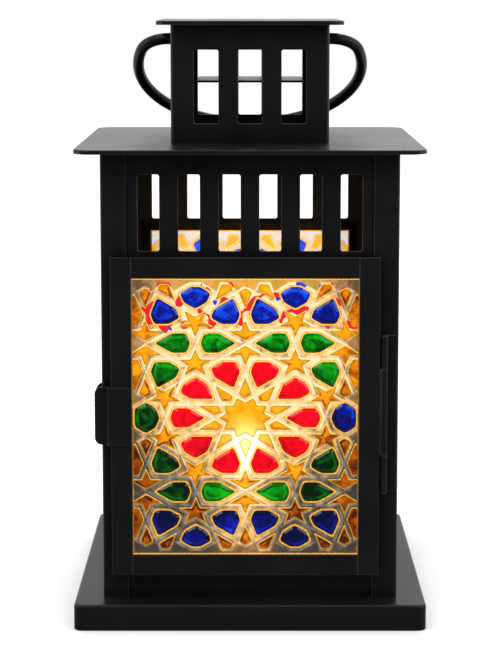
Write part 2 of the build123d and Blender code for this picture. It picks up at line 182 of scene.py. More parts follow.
def new_material(name):
    """Empty node material with its output node."""
    material = bpy.data.materials.new(name)
    material.use_nodes = True
    tree = material.node_tree
    tree.nodes.clear()
    output = tree.nodes.new("ShaderNodeOutputMaterial")
    return material, tree, output


def feed(tree, node, name, value):
    """Set an input socket, or link an output socket to it."""
    socket = node.inputs[int(name)] if name.isdigit() else node.inputs[name]
    if isinstance(value, bpy.types.NodeSocket):
        tree.links.new(value, socket)
    else:
        socket.default_value = value


def put(tree, kind, **settings):
    """Add a node. Settings that name an input are set or linked, the rest are the node's own properties."""
    node = tree.nodes.new(kind)
    for key, value in settings.items():
        if hasattr(node, key):
            setattr(node, key, value)
    for key, value in settings.items():
        if not hasattr(node, key):
            feed(tree, node, key.replace("_", " "), value)
    return node


def math_node(tree, operation, first, second, clamp=False):
    """Result of a Math node."""
    node = put(tree, "ShaderNodeMath", operation=operation, use_clamp=clamp)
    feed(tree, node, "0", first)
    feed(tree, node, "1", second)
    return node.outputs[0]


def plus(tree, first, second, clamp=False):
    """Sum of two values."""
    return math_node(tree, "ADD", first, second, clamp)


def minus(tree, first, second):
    """Difference of two values."""
    return math_node(tree, "SUBTRACT", first, second)


def times(tree, first, second):
    """Product of two values."""
    return math_node(tree, "MULTIPLY", first, second)


def larger(tree, first, second):
    """Larger of two values."""
    return math_node(tree, "MAXIMUM", first, second)


def vector_node(tree, operation, first, second=(0.0, 0.0, 0.0)):
    """Result of a Vector Math node: a value for a length or a dot product, otherwise a vector."""
    node = put(tree, "ShaderNodeVectorMath", operation=operation)
    feed(tree, node, "0", first)
    feed(tree, node, "1", second)
    return node.outputs["Value" if operation in ("LENGTH", "DOT_PRODUCT") else "Vector"]


def between(tree, value, low=0.0, high=1.0, to_low=0.0, to_high=1.0, smooth=False):
    """Value taken from one range to another and held at its ends."""
    node = put(
        tree, "ShaderNodeMapRange",
        interpolation_type="SMOOTHSTEP" if smooth else "LINEAR",
        Value=value,
        From_Min=low,
        From_Max=high,
        To_Min=to_low,
        To_Max=to_high,
    )
    return node.outputs["Result"]


def ramp(tree, factor, stops):
    """Colour ramp through (position, colour) stops."""
    node = put(tree, "ShaderNodeValToRGB", Fac=factor)
    band = node.color_ramp
    while len(band.elements) < len(stops):
        band.elements.new(0.5)
    for element, (position, colour) in zip(band.elements, stops):
        element.position = position
        element.color = (*colour, 1.0)
    return node.outputs["Color"]


def mix_colour(tree, factor, first, second):
    """Colour between two colours, each a socket or red, green and blue."""
    node = put(tree, "ShaderNodeMix", data_type="RGBA")
    feed(tree, node, "0", factor)
    for name, colour in (("6", first), ("7", second)):
        feed(tree, node, name, colour if isinstance(colour, bpy.types.NodeSocket) else (*colour, 1.0))
    return node.outputs[2]


def mix_level(tree, factor, first, second):
    """Value between two values."""
    node = put(tree, "ShaderNodeMix", data_type="FLOAT")
    for name, value in (("0", factor), ("2", first), ("3", second)):
        feed(tree, node, name, value)
    return node.outputs[0]


def mix_shader(tree, factor, first, second):
    """Mix of two shader nodes."""
    node = put(tree, "ShaderNodeMixShader", Fac=factor)
    feed(tree, node, "1", first.outputs[0])
    feed(tree, node, "2", second.outputs[0])
    return node


def falloff(tree, place, centre, size, inner, outer):
    """1 inside an ellipse on the pane, falling smoothly to 0 outside it."""
    shifted = vector_node(tree, "SUBTRACT", place, (*centre, 0.0))
    scaled = vector_node(tree, "DIVIDE", shifted, (*size, 1.0))
    reach = vector_node(tree, "LENGTH", scaled)
    return between(tree, reach, inner, outer, to_low=1.0, to_high=0.0, smooth=True)


def attribute(tree, name, output):
    """Value stored on the mesh."""
    return put(tree, "ShaderNodeAttribute", attribute_name=name).outputs[output]


def flat_place(tree):
    """Place on the pane in millimetres from its centre."""
    return vector_node(tree, "MULTIPLY", attribute(tree, "pane_place", "Vector"), (1.0, 1.0, 0.0))


def object_place(tree):
    """Place in the object in metres."""
    return put(tree, "ShaderNodeTexCoord").outputs["Object"]


def along(tree, place, axis):
    """Part of a place along X, Y or Z."""
    return put(tree, "ShaderNodeSeparateXYZ", Vector=place).outputs[axis]


def noise(tree, vector, scale, detail=2.0, roughness=0.5):
    """Noise value over a vector."""
    node = put(tree, "ShaderNodeTexNoise", Vector=vector, Scale=scale, Detail=detail, Roughness=roughness)
    return node.outputs["Fac"]


def bump(tree, height, strength, distance, normal=None):
    """Bumped normal, on the surface's own normal or another."""
    node = put(tree, "ShaderNodeBump", Height=height, Strength=strength, Distance=distance)
    if normal is not None:
        feed(tree, node, "Normal", normal)
    return node.outputs["Normal"]


def seen_directly(tree, path):
    """1 for what the camera sees, also through glass."""
    return plus(tree, path.outputs["Is Camera Ray"], path.outputs["Is Transmission Ray"], clamp=True)


# Materials

def black_steel():
    """Satin black powder coat: fine orange peel, faint rubbing, a painted highlight on the edges, painted
    shade in corners and recesses.
    """
    material, tree, output = new_material("black_steel")
    place = object_place(tree)
    grain = noise(tree, place, scale=2600.0, detail=3.0, roughness=0.6)
    cloud = noise(tree, place, scale=38.0, detail=4.0, roughness=0.55)
    face_normal = put(tree, "ShaderNodeNewGeometry").outputs["Normal"]
    soft_normal = put(tree, "ShaderNodeBevel", samples=6, Radius=edge_radius * MM).outputs["Normal"]
    # Painted highlight: the colour turns paler where the soft normal of an edge leaves the face's own normal
    edge = between(tree, vector_node(tree, "DOT_PRODUCT", soft_normal, face_normal), 1.0, highlight_turn)
    # Painted shade: the colour goes nearly black where ambient occlusion finds corners and recesses close by
    open_sky = put(tree, "ShaderNodeAmbientOcclusion", samples=6, Distance=painted_shade_reach * MM).outputs["AO"]
    body_colour = ramp(tree, cloud, ((0.3, (0.0068, 0.0068, 0.0070)), (0.75, (0.0112, 0.0112, 0.0114))))
    edge_highlight_colour = ramp(tree, cloud, ((0.3, (0.050, 0.050, 0.052)), (0.75, (0.120, 0.120, 0.124))))
    shaded_body_colour = mix_colour(tree, open_sky, (0.0008, 0.0008, 0.0008), body_colour)
    shader = put(
        tree, "ShaderNodeBsdfPrincipled",
        Base_Color=mix_colour(tree, edge, shaded_body_colour, edge_highlight_colour),
        Roughness=between(tree, cloud, to_low=0.26, to_high=0.36),
        Specular_IOR_Level=0.12,
        Normal=bump(tree, grain, strength=0.12, distance=0.05 * MM, normal=soft_normal),
    )
    feed(tree, output, "Surface", shader.outputs[0])
    return material


def oxide_steel():
    """Dark spring steel of the clips, the push nuts and the hinge pin."""
    material, tree, output = new_material("oxide_steel")
    streak = noise(tree, object_place(tree), scale=900.0, detail=3.0, roughness=0.6)
    shader = put(
        tree, "ShaderNodeBsdfPrincipled",
        Metallic=0.85,
        Base_Color=ramp(tree, streak, ((0.3, (0.03, 0.03, 0.03)), (0.8, (0.07, 0.07, 0.07)))),
        Roughness=between(tree, streak, to_low=0.3, to_high=0.5),
    )
    feed(tree, output, "Surface", shader.outputs[0])
    return material


def pane_light(tree):
    """Place on a pane, the broad light that comes through there, and the hot spot in front of the flame."""
    place = flat_place(tree)
    upper = falloff(tree, place, upper_light, upper_light_size, inner=0.45, outer=1.15)
    column = falloff(tree, place, column_light, column_light_size, inner=0.1, outer=1.0)
    ripple = times(tree, minus(tree, noise(tree, place, scale=0.06), 0.5), 0.5)
    broad = larger(tree, upper, times(tree, column, column_level))
    broad = plus(tree, broad, ripple, clamp=True)
    hot = falloff(tree, place, hot_spot, hot_size, inner=0.0, outer=1.0)
    return place, broad, hot


def refraction_patch(tree, place, shift, drop, limit):
    """1 in the small sharp patches of painted refraction, where a noise, less a drop, is over a limit."""
    patch = noise(tree, vector_node(tree, "ADD", place, shift), scale=0.15, detail=0.0)
    return math_node(tree, "GREATER_THAN", minus(tree, patch, drop), limit)


def clear_glass(name, cover, painted_refractions):
    """Raised clear straps and the ground between them: cream where lit, grey in the lower corners.

    cover is how much of what lies behind they hide. The third argument is 1 for red and blue patches of
    painted refraction near the top, which stand for the stones behind, or 0.
    """
    material, tree, output = new_material(name)
    place, broad, hot = pane_light(tree)
    facet = attribute(tree, "facet", "Fac")
    ground = math_node(tree, "LESS_THAN", facet, ground_limit)

    streak = times(tree, minus(tree, noise(tree, place, scale=0.24), 0.5), plus(tree, 0.45, broad))
    slope_gain = plus(tree, 0.12, times(tree, broad, 0.3))
    slope = times(tree, minus(tree, facet, 1.0), slope_gain)
    level = plus(tree, times(tree, broad, 0.69), 0.07)
    level = plus(tree, plus(tree, level, streak), slope)
    glow = ramp(tree, level, (
        (0.0, (0.04, 0.035, 0.028)),
        (0.2, (0.24, 0.20, 0.15)),
        (0.42, (0.80, 0.48, 0.19)),
        (0.62, (1.0, 0.65, 0.31)),
        (0.85, (1.0, 0.82, 0.53)),
    ))

    # Painted refraction: red and blue patches near the top, standing for the rear pane's stones seen through
    # the straps
    drop = between(tree, along(tree, place, "Y"), refraction_low, refraction_high, 0.3, 0.0, smooth=True)
    red = times(tree, refraction_patch(tree, place, (0.0, 0.0, 0.0), drop, red_limit), painted_refractions)
    blue = times(tree, refraction_patch(tree, place, blue_shift, drop, blue_limit), painted_refractions)
    shown = times(tree, larger(tree, red, blue), minus(tree, 1.0, ground))
    hue = mix_colour(tree, blue, (0.72, 0.003, 0.012), (0.02, 0.03, 0.6))

    colour = mix_colour(tree, shown, glow, hue)
    colour = mix_colour(tree, times(tree, ground, broad), colour, (0.72, 0.30, 0.025))
    colour = mix_colour(tree, hot, colour, (1.0, 0.97, 0.82))
    shader = put(
        tree, "ShaderNodeBsdfPrincipled",
        Base_Color=(0.02, 0.018, 0.015, 1.0),
        Roughness=0.06,
        Normal=bump(tree, noise(tree, place, scale=0.5), strength=0.35, distance=0.6 * MM),
        Emission_Color=colour,
        Emission_Strength=plus(tree, 1.2, times(tree, hot, 0.8)),
    )
    see_through = put(tree, "ShaderNodeBsdfTransparent")
    mixed = mix_shader(tree, larger(tree, shown, cover), see_through, shader)
    feed(tree, output, "Surface", mixed.outputs[0])
    return material


def plain_glass():
    """Glass sheet of a pane: clear, with a glossy skin."""
    material, tree, output = new_material("plain_glass")
    place = flat_place(tree)
    tint = ramp(tree, noise(tree, place, scale=0.08), ((0.3, (0.93, 0.92, 0.89)), (0.8, (0.98, 0.97, 0.95))))
    see_through = put(tree, "ShaderNodeBsdfTransparent", Color=tint)
    ripple = bump(tree, noise(tree, place, scale=0.3), strength=0.2, distance=0.5 * MM)
    shine = put(tree, "ShaderNodeBsdfGlossy", Roughness=0.05, Normal=ripple)
    skin = put(tree, "ShaderNodeFresnel", IOR=1.3).outputs[0]
    feed(tree, output, "Surface", mix_shader(tree, skin, see_through, shine).outputs[0])
    return material


def jewel(name, colours, deep, lit, contrast, near_flame=0.0, hot_gain=0.2, hot_white=0.0):
    """Cut coloured glass in which the light breaks up, deep in the dark and bright at the candle.

    deep is its level in the dark, lit what the broad light adds and contrast what the breaks inside it do.
    near_flame lights the stones round the flame, hot_gain and hot_white the ones right before it.
    """
    material, tree, output = new_material(name)
    place, broad, hot = pane_light(tree)
    round_flame = falloff(tree, place, hot_spot, near_flame_size, inner=0.75, outer=1.0)
    broad = larger(tree, broad, times(tree, round_flame, near_flame))

    crystal_gain, cloud_gain = 0.45, 0.95
    mean = (crystal_gain + cloud_gain) / 2
    voronoi = put(tree, "ShaderNodeTexVoronoi", Scale=0.2, Vector=place)
    crystal = put(tree, "ShaderNodeSeparateColor", Color=voronoi.outputs["Color"]).outputs[0]
    cloud = noise(tree, place, scale=0.35, detail=3.0, roughness=0.6)
    breaks = plus(tree, times(tree, crystal, crystal_gain), times(tree, cloud, cloud_gain))
    level = times(tree, minus(tree, breaks, mean - deep / contrast), contrast)

    bevel = minus(tree, attribute(tree, "facet", "Fac"), 1.0)
    level = plus(tree, level, times(tree, broad, lit))
    level = plus(tree, level, times(tree, bevel, 0.5))
    level = plus(tree, level, times(tree, hot, 0.5), clamp=True)
    darkest = colours[0][1]
    whitened = times(tree, hot, hot_white)
    shader = put(
        tree, "ShaderNodeBsdfPrincipled",
        Base_Color=(*[0.35 * channel for channel in darkest], 1.0),
        Roughness=0.06,
        Specular_IOR_Level=0.4,
        Normal=bump(tree, noise(tree, place, scale=0.3), strength=0.15, distance=0.5 * MM),
        Emission_Color=mix_colour(tree, whitened, ramp(tree, level, colours), (1.0, 0.9, 0.6)),
        Emission_Strength=plus(tree, 1.1, times(tree, hot, hot_gain)),
    )
    feed(tree, output, "Surface", shader.outputs[0])
    return material


def gilt():
    """Raised gold outline round every cell, glowing with the pane's painted light, and brighter or darker on
    its slopes by their facet values as painted light and shade.
    """
    material, tree, output = new_material("gilt")
    place, broad, hot = pane_light(tree)
    speck = noise(tree, place, scale=0.9, detail=3.0, roughness=0.6)
    slope = plus(tree, 0.4, times(tree, attribute(tree, "facet", "Fac"), 1.7))
    glow = ramp(tree, broad, ((0.0, (0.80, 0.38, 0.025)), (0.6, (1.0, 0.52, 0.04)), (1.0, (1.0, 0.62, 0.09))))
    shader = put(
        tree, "ShaderNodeBsdfPrincipled",
        Metallic=0.75,
        Base_Color=ramp(tree, speck, ((0.3, (0.35, 0.16, 0.015)), (0.75, (0.70, 0.38, 0.05)))),
        Roughness=between(tree, speck, to_low=0.22, to_high=0.42),
        Emission_Color=glow,
        Emission_Strength=plus(tree, times(tree, speck, slope), times(tree, hot, 0.6)),
    )
    feed(tree, output, "Surface", shader.outputs[0])
    return material


def candle_wax():
    """Ivory wax that lets the light of its tip through near the top."""
    material, tree, output = new_material("candle_wax")
    place = object_place(tree)
    mottle = noise(tree, place, scale=120.0, detail=4.0, roughness=0.6)
    lit = between(tree, along(tree, place, "Z"), wax_glow_low * MM, wax_glow_high * MM, smooth=True)
    shader = put(
        tree, "ShaderNodeBsdfPrincipled",
        Base_Color=ramp(tree, mottle, ((0.3, (0.72, 0.58, 0.38)), (0.8, (0.84, 0.72, 0.52)))),
        Roughness=0.5,
        Normal=bump(tree, mottle, strength=0.1, distance=0.4 * MM),
        Emission_Color=ramp(tree, lit, ((0.0, (0.5, 0.2, 0.05)), (1.0, (1.0, 0.62, 0.25)))),
        Emission_Strength=times(tree, lit, 0.55),
    )
    feed(tree, output, "Surface", shader.outputs[0])
    return material


def flame_tip():
    """Glowing tip: white-hot in the middle, amber at the foot and the point."""
    material, tree, output = new_material("flame_tip")
    rise = between(tree, along(tree, object_place(tree), "Z"), flame_low * MM, flame_high * MM)
    colour = ramp(tree, rise, ((0.0, (1.0, 0.35, 0.05)), (0.35, (1.0, 0.85, 0.5)), (1.0, (1.0, 0.5, 0.1))))
    glow = put(tree, "ShaderNodeEmission", Color=colour, Strength=2.5)
    feed(tree, output, "Surface", glow.outputs[0])
    return material


# Ten-fold star pattern, by the same rules as the part's source

golden = (1 + math.sqrt(5)) / 2
contact_angle = 72.0
contact_rise = math.sin(math.radians(contact_angle))
contact_run = math.cos(math.radians(contact_angle))
decagon_apothem = 0.5 / math.tan(math.radians(18))
pentagon_apothem = 0.5 / math.tan(math.radians(36))
star_notch = math.sin(math.radians(36))
small_notch = pentagon_apothem / golden ** 2
lozenge_width_ratio = 0.5
lozenge_height_ratio = 0.7
shoulder_width_ratio = 0.357
shoulder_height_ratio = 0.441


def polar(radius, degrees):
    """Point of the pattern, in pattern units."""
    return cmath.rect(radius, math.radians(degrees))


def petal(vertex, *edges):
    """Cell round one corner of the underlying tiling, whose edges leave it in the given directions."""
    points = []
    for first, second in zip(edges, edges[1:] + (edges[0] + 360,)):
        half = (second - first) / 2
        inner = 0.5 * contact_rise / math.sin(math.radians(contact_angle + half))
        points.append(vertex + polar(0.5, first))
        points.append(vertex + polar(inner, first + half))
    return points


def shield(vertex, tip):
    """Six-sided petal whose long point looks in the direction tip."""
    return petal(vertex, tip + contact_angle, tip + 180, tip + 360 - contact_angle)


def star(centre, rays, outer, inner, first):
    """Star with straight sides."""
    step = 180 / rays
    return [centre + polar(inner if k % 2 else outer, first + k * step) for k in range(2 * rays)]


def kite(centre, degrees):
    """Arm of a ten-pointed star, between two petals."""
    corners = ((star_notch, 0), (golden / 2, -18), (decagon_apothem, 0), (golden / 2, 18))
    return [centre + polar(radius, degrees + turn) for radius, turn in corners]


def dart(centre, up):
    """Half of the figure inside a six-sided tile, pinched at the tile's centre."""
    wing = complex(golden ** 2 / 4, contact_rise / 2)
    neck = complex(contact_run / 2, contact_rise / 2)
    half = [0j, -wing.conjugate(), -neck.conjugate(), contact_rise * 1j, neck, wing]
    return [centre + (p if up else -p) for p in half]


def mirrored(cells):
    """Repeat cells of the upper right quarter in all four quarters."""
    copies = []
    for flip in (lambda p: p, lambda p: -p.conjugate(), lambda p: -p, lambda p: p.conjugate()):
        copies += [[flip(p) for p in cell] for cell in cells]
    return copies


def jewel_pattern():
    """All cells of one pane by colour, in pattern units round the pane's centre."""
    row = decagon_apothem + contact_rise
    crown = row + contact_rise
    far = 2 * row
    side = golden + 1
    wedge = complex(side / 2, crown + star_notch)
    shoulder = complex(shoulder_width_ratio, shoulder_height_ratio)
    quarters = [complex(lozenge_width_ratio, 0), shoulder, lozenge_height_ratio * 1j, -shoulder.conjugate()]
    lozenge = quarters + [-p for p in quarters]
    ring = [polar(decagon_apothem + pentagon_apothem, turn) for turn in (18, 54)]
    red = [shield(polar(golden, 36 * k), 36 * k + 180) for k in range(10)]
    green = mirrored([
        shield(polar(side, 36), 288),
        shield(polar(side, 72), 180),
        shield(complex(side / 2 + 0.5, row), 0),
    ])
    green.append([p - side for p in lozenge])
    blue = mirrored([
        shield(complex(0.5, crown), 108),
        shield(complex(side - 0.5, crown), 72),
        petal(wedge, 72, 108, 216, 324),
    ])
    blue.append([p + side for p in lozenge])
    amber = [star(0, 10, golden / 2, star_notch, 0)]
    amber += [kite(0, 18 + 36 * k) for k in range(10)]
    amber += mirrored([star(ring[0], 5, pentagon_apothem, small_notch, 198)])
    amber += mirrored([star(ring[1], 5, pentagon_apothem, small_notch, 234)])
    amber += mirrored([star(complex(side / 2, crown - small_notch), 5, pentagon_apothem, small_notch, -90)])
    amber += mirrored([kite(complex(0, far), -54)])
    amber += mirrored([kite(complex(side, far), -126), kite(complex(side, far), -90)])
    amber += mirrored([kite(complex(side, 0), 90)])
    amber += mirrored([dart(complex(side, row), True), dart(complex(side, row), False)])
    amber += mirrored([shield(complex(side + 0.5, decagon_apothem), 252)])
    amber += mirrored([shield(complex(side + 0.5, crown), 108)])
    for up in (1, -1):
        amber.append(kite(complex(0, up * far), -90 * up))
        amber += [dart(complex(0, up * row), True), dart(complex(0, up * row), False)]
    return {"red": red, "green": green, "blue": blue, "amber": amber}


def turned_left(points):
    """Polygon with its corners counted anticlockwise."""
    area = sum((a.conjugate() * b).imag for a, b in zip(points, points[1:] + points[:1]))
    return points if area > 0 else points[::-1]


def clipped(points, limit, turn):
    """Cut a polygon off where it passes the limit in the direction of the unit number turn."""
    kept = []
    for last, point in zip(points[-1:] + points[:-1], points):
        gap_last = limit - (last * turn.conjugate()).real
        gap = limit - (point * turn.conjugate()).real
        if gap * gap_last < 0:
            kept.append(last + (point - last) * gap_last / (gap_last - gap))
        if gap >= 0:
            kept.append(point)
    return kept


def inset(points, amount):
    """Draw every side of an anticlockwise polygon inwards by the same amount."""
    normals = []
    for a, b in zip(points, points[1:] + points[:1]):
        normals.append(1j * (b - a) / abs(b - a))
    moved = []
    for p, before, after in zip(points, normals[-1:] + normals[:-1], normals):
        moved.append(p + amount * (before + after) / (1 + (before * after.conjugate()).real))
    return moved


def keeps_shape(before, after):
    """True if no side turned round while a polygon was drawn inwards."""
    for a, b, c, d in zip(before, before[1:] + before[:1], after, after[1:] + after[:1]):
        if ((b - a).conjugate() * (d - c)).real <= 0:
            return False
    return True


def rounded(points, reach):
    """Polygon with three points in place of each corner, so that it turns softly."""
    soft = []
    for before, p, after in zip(points[-1:] + points[:-1], points, points[1:] + points[:1]):
        start = p + (before - p) * min(rounding_share, reach / abs(before - p))
        end = p + (after - p) * min(rounding_share, reach / abs(after - p))
        soft += [start, (start + 2 * p + end) / 4, end]
    return soft


# Panes

class Pane:
    """One glass wall: its place in the frame, and the size of the window in front of it."""

    def __init__(self, wall):
        self.body = wall_body[wall]
        low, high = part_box(f"{wall}_pane")
        turn = math.radians(walls[wall])
        self.right = Vector((math.cos(turn), math.sin(turn), 0.0))
        self.out = Vector((math.sin(turn), -math.cos(turn), 0.0))
        middle = (low + high) / 2
        half = (high - low) / 2
        self.thickness = 2 * abs(half.dot(self.out)) / MM
        self.centre = middle + self.out * abs(half.dot(self.out))
        half_pane = complex(abs(half.dot(self.right)), half.z) / MM
        self.half_window = half_pane - complex(glass_overlap, glass_overlap)
        unit_across = self.half_window.real / pattern_count_across
        unit_up = self.half_window.imag / pattern_count_up
        self.unit = 2 * complex(unit_across, unit_up)

    def point(self, place, out):
        """Point in metres, from a place on the pane and a height over its outer face in millimetres."""
        offset = self.right * place.real + Vector((0, 0, place.imag)) + self.out * out
        return self.centre + offset * MM

    def rectangle(self, margin):
        """Outline of the window, drawn in by a margin."""
        x = self.half_window.real - margin
        z = self.half_window.imag - margin
        return [complex(-x, -z), complex(x, -z), complex(x, z), complex(-x, z)]

    def cut(self, cell):
        """Cell in millimetres, cut so that its stone ends at the frame, or None if no stone is left of it."""
        outline = [complex(p.real * self.unit.real, p.imag * self.unit.imag) for p in cell]
        outline = turned_left(outline)
        reach = amber_edge - pattern_margin
        half_width = self.half_window.real + reach
        half_height = self.half_window.imag + reach
        for limit, turn in ((half_width, 1), (half_width, -1), (half_height, 1j), (half_height, -1j)):
            outline = clipped(outline, limit, complex(turn))
            if len(outline) < 3:
                return None
        return outline if keeps_shape(outline, inset(outline, amber_edge)) else None

    def held(self, outline):
        """Outline held back inside the gold border."""
        x = self.half_window.real - border_width
        z = self.half_window.imag - border_width
        return [complex(max(-x, min(x, p.real)), max(-z, min(z, p.imag))) for p in outline]


class PaneMesh:
    """Mesh on one pane that remembers where each corner lies on it and how each facet takes the light."""

    def __init__(self, pane):
        self.pane = pane
        self.points = []
        self.places = []
        self.faces = []
        self.facets = []

    def ring(self, outline, out):
        """Add the corners of an outline at one height and return their numbers."""
        first = len(self.points)
        for p in outline:
            self.points.append(self.pane.point(p, out))
            self.places.append((p.real, p.imag, out))
        return list(range(first, first + len(outline)))

    def face(self, corners, facet=1.0):
        """Add one facet."""
        self.faces.append(corners)
        self.facets.append(facet)

    def band(self, lower, upper, facets):
        """Join two rings of corners by a band of facets."""
        count = len(lower)
        for k in range(count):
            after = (k + 1) % count
            self.face([lower[k], lower[after], upper[after], upper[k]], facets[k])

    def build(self, name, material):
        """Make the object."""
        mesh = bpy.data.meshes.new(name)
        mesh.from_pydata(self.points, [], self.faces)
        place = mesh.attributes.new("pane_place", "FLOAT_VECTOR", "POINT")
        place.data.foreach_set("vector", [v for p in self.places for v in p])
        facet = mesh.attributes.new("facet", "FLOAT", "FACE")
        facet.data.foreach_set("value", self.facets)
        mesh.materials.append(material)
        piece = bpy.data.objects.new(name, mesh)
        scene.collection.objects.link(piece)
        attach(piece, self.pane.body)
        return piece


def bevel_light(outline):
    """How bright the facet along each side of an outline looks: brighter on the side away from the flame."""
    centre = sum(outline) / len(outline)
    flame = complex(*hot_spot) - centre
    flame = flame / abs(flame)
    shades = []
    for a, b in zip(outline, outline[1:] + outline[:1]):
        outward = -1j * (b - a) / abs(b - a)
        toward = (outward * flame.conjugate()).real
        shades.append(1.0 - bevel_swing * toward)
    return shades


def add_jewel(mesh, outline):
    """Faceted jewel: a low girdle, two slopes and a flat table."""
    levels = (
        (0.0, -stone_sink),
        (0.0, jewel_girdle),
        (jewel_shoulder_inset, jewel_shoulder),
        (jewel_table_inset, jewel_height),
    )
    outlines = [rounded(inset(outline, amount), jewel_rounding) for amount, out in levels]
    shades = bevel_light(outlines[0])
    rings = [mesh.ring(points, out) for points, (amount, out) in zip(outlines, levels)]
    rim = [rim_shade * shade for shade in shades]
    for lower, upper, light in zip(rings, rings[1:], (rim, rim, shades)):
        mesh.band(lower, upper, light)
    mesh.face(rings[-1], table_shade)
    mesh.face(rings[0][::-1], inside_shade)


def add_inlay(mesh, outline):
    """Thin amber inlay with a softened edge."""
    table = inset(outline, inlay_table_inset)
    if not keeps_shape(outline, table):
        table = outline
    soft = rounded(outline, inlay_rounding)
    shades = [inlay_rim_shade * shade for shade in bevel_light(soft)]
    foot = mesh.ring(soft, -stone_sink)
    girdle = mesh.ring(soft, inlay_girdle)
    top = mesh.ring(rounded(table, inlay_rounding), inlay_height)
    mesh.band(foot, girdle, shades)
    mesh.band(girdle, top, shades)
    mesh.face(top, table_shade)
    mesh.face(foot[::-1], inside_shade)


def add_gilt(mesh, cell, end, width, rounding, slopes):
    """Raised line of gold round one cell, whose inner edge lies at the distance end from the cell's edge."""
    start = end - width
    ridge = start + ridge_share * width
    levels = (
        (start, -stone_sink),
        (start, 0.0),
        (ridge, gilt_height),
        (end, gilt_height / 2),
        (end, -stone_sink),
    )
    rings = []
    for amount, out in levels:
        rings.append(mesh.ring(mesh.pane.held(rounded(inset(cell, amount), rounding)), out))
    foot = rings.pop()
    for lower, upper, shade in zip(rings, rings[1:], (0.0, *slopes)):
        mesh.band(lower, upper, [shade] * len(lower))
    mesh.band(foot, rings[0], [1.0] * len(foot))


def add_border(mesh):
    """Gold line along the edge of the window."""
    shades = border_shades * 2
    outer = mesh.ring(mesh.pane.rectangle(0.0), 0.0)
    ridge = mesh.ring(mesh.pane.rectangle(border_width / 2), gilt_height)
    inner = mesh.ring(mesh.pane.rectangle(border_width), 0.0)
    mesh.band(outer, ridge, shades)
    mesh.band(ridge, inner, shades)


def add_sheet(mesh):
    """Glass sheet that carries the straps and the stones."""
    outline = mesh.pane.rectangle(-glass_overlap)
    back = mesh.ring(outline, -mesh.pane.thickness)
    front = mesh.ring(outline, 0.0)
    mesh.band(back, front, [1.0] * 4)
    mesh.face(front)
    mesh.face(back[::-1])


def add_ground(mesh):
    """Flat ground under the straps, seen where no cell lies, marked so that the material can tell it."""
    mesh.face(mesh.ring(mesh.pane.rectangle(0.0), ground_height), ground_mark)


def add_strap(mesh, cell, edge):
    """Half of the straps round one cell: slopes from the ridge at its edge down to a distance inside it."""
    ridge = mesh.ring(mesh.pane.held(cell), strap_height)
    foot = mesh.ring(mesh.pane.held(inset(cell, edge)), 0.0)
    mesh.band(ridge, foot, bevel_light(cell))


def smooth(piece):
    """Shade a piece smoothly."""
    piece.data.polygons.foreach_set("use_smooth", [True] * len(piece.data.polygons))


# Finishes of the steel and the candle, on the solids themselves

finish = {
    "black_steel": black_steel(),
    "plain_steel": oxide_steel(),
    "candle_wax": candle_wax(),
    "flame_tip": flame_tip(),
}
for part in frame["record"]["subparts"]:
    material = finish.get(part["material_slot"])
    if material:
        mesh = nodes[part["node"]].data
        mesh.materials.clear()
        mesh.materials.append(material)


# Glass walls

strap_glass = {
    "door": clear_glass("door_straps", door_cover, painted_refractions=1.0),
    "lantern": clear_glass("wall_straps", wall_cover, painted_refractions=0.0),
}
sheet_glass = plain_glass()
gold = gilt()
jewel_colours = {
    "red": ((0.0, (0.10, 0.0, 0.002)), (0.5, (0.50, 0.0, 0.006)), (1.0, (0.95, 0.001, 0.012))),
    "green": ((0.0, (0.0, 0.008, 0.001)), (0.5, (0.0, 0.13, 0.002)), (1.0, (0.004, 0.46, 0.008))),
    "blue": ((0.0, (0.001, 0.002, 0.03)), (0.5, (0.001, 0.006, 0.30)), (1.0, (0.006, 0.085, 0.92))),
    "amber": (
        (0.0, (0.05, 0.006, 0.0)),
        (0.3, (0.42, 0.085, 0.001)),
        (0.6, (1.0, 0.33, 0.002)),
        (1.0, (1.0, 0.50, 0.01)),
    ),
}
jewel_light = {
    "red": {"deep": 0.24, "lit": 0.8, "contrast": 0.75},
    "green": {"deep": 0.0, "lit": 0.62, "contrast": 0.9, "near_flame": 1.4},
    "blue": {"deep": 0.05, "lit": 0.62, "contrast": 0.85},
    "amber": {
        "deep": 0.16, "lit": 0.75, "contrast": 0.7, "near_flame": 0.9, "hot_gain": 0.9, "hot_white": 0.4,
    },
}
jewels = {}
for colour, stops in jewel_colours.items():
    jewels[colour] = jewel(f"jewel_{colour}", stops, **jewel_light[colour])
pattern = jewel_pattern()
for wall in walls:
    pane = Pane(wall)
    sheet = PaneMesh(pane)
    straps = PaneMesh(pane)
    lines = PaneMesh(pane)
    add_sheet(sheet)
    add_ground(straps)
    add_border(lines)
    for colour, cells in pattern.items():
        stones = PaneMesh(pane)
        for cell in filter(None, map(pane.cut, cells)):
            if colour == "amber":
                add_inlay(stones, inset(cell, amber_edge))
                add_gilt(lines, cell, amber_edge, amber_line, inlay_rounding, amber_slopes)
                add_strap(straps, cell, amber_edge - amber_line + strap_tuck)
            else:
                add_jewel(stones, inset(cell, jewel_edge))
                add_gilt(lines, cell, jewel_edge, jewel_line, jewel_rounding, jewel_slopes)
                add_strap(straps, cell, jewel_edge - jewel_line + strap_tuck)
        piece = stones.build(f"{wall}_{colour}_stones", jewels[colour])
        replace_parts(piece, f"{wall}_jewels_{colour}")
    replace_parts(sheet.build(f"{wall}_glass", sheet_glass), f"{wall}_pane")
    straps.build(f"{wall}_straps", strap_glass[pane.body])
    smooth(lines.build(f"{wall}_gilt_lines", gold))


# Candle light

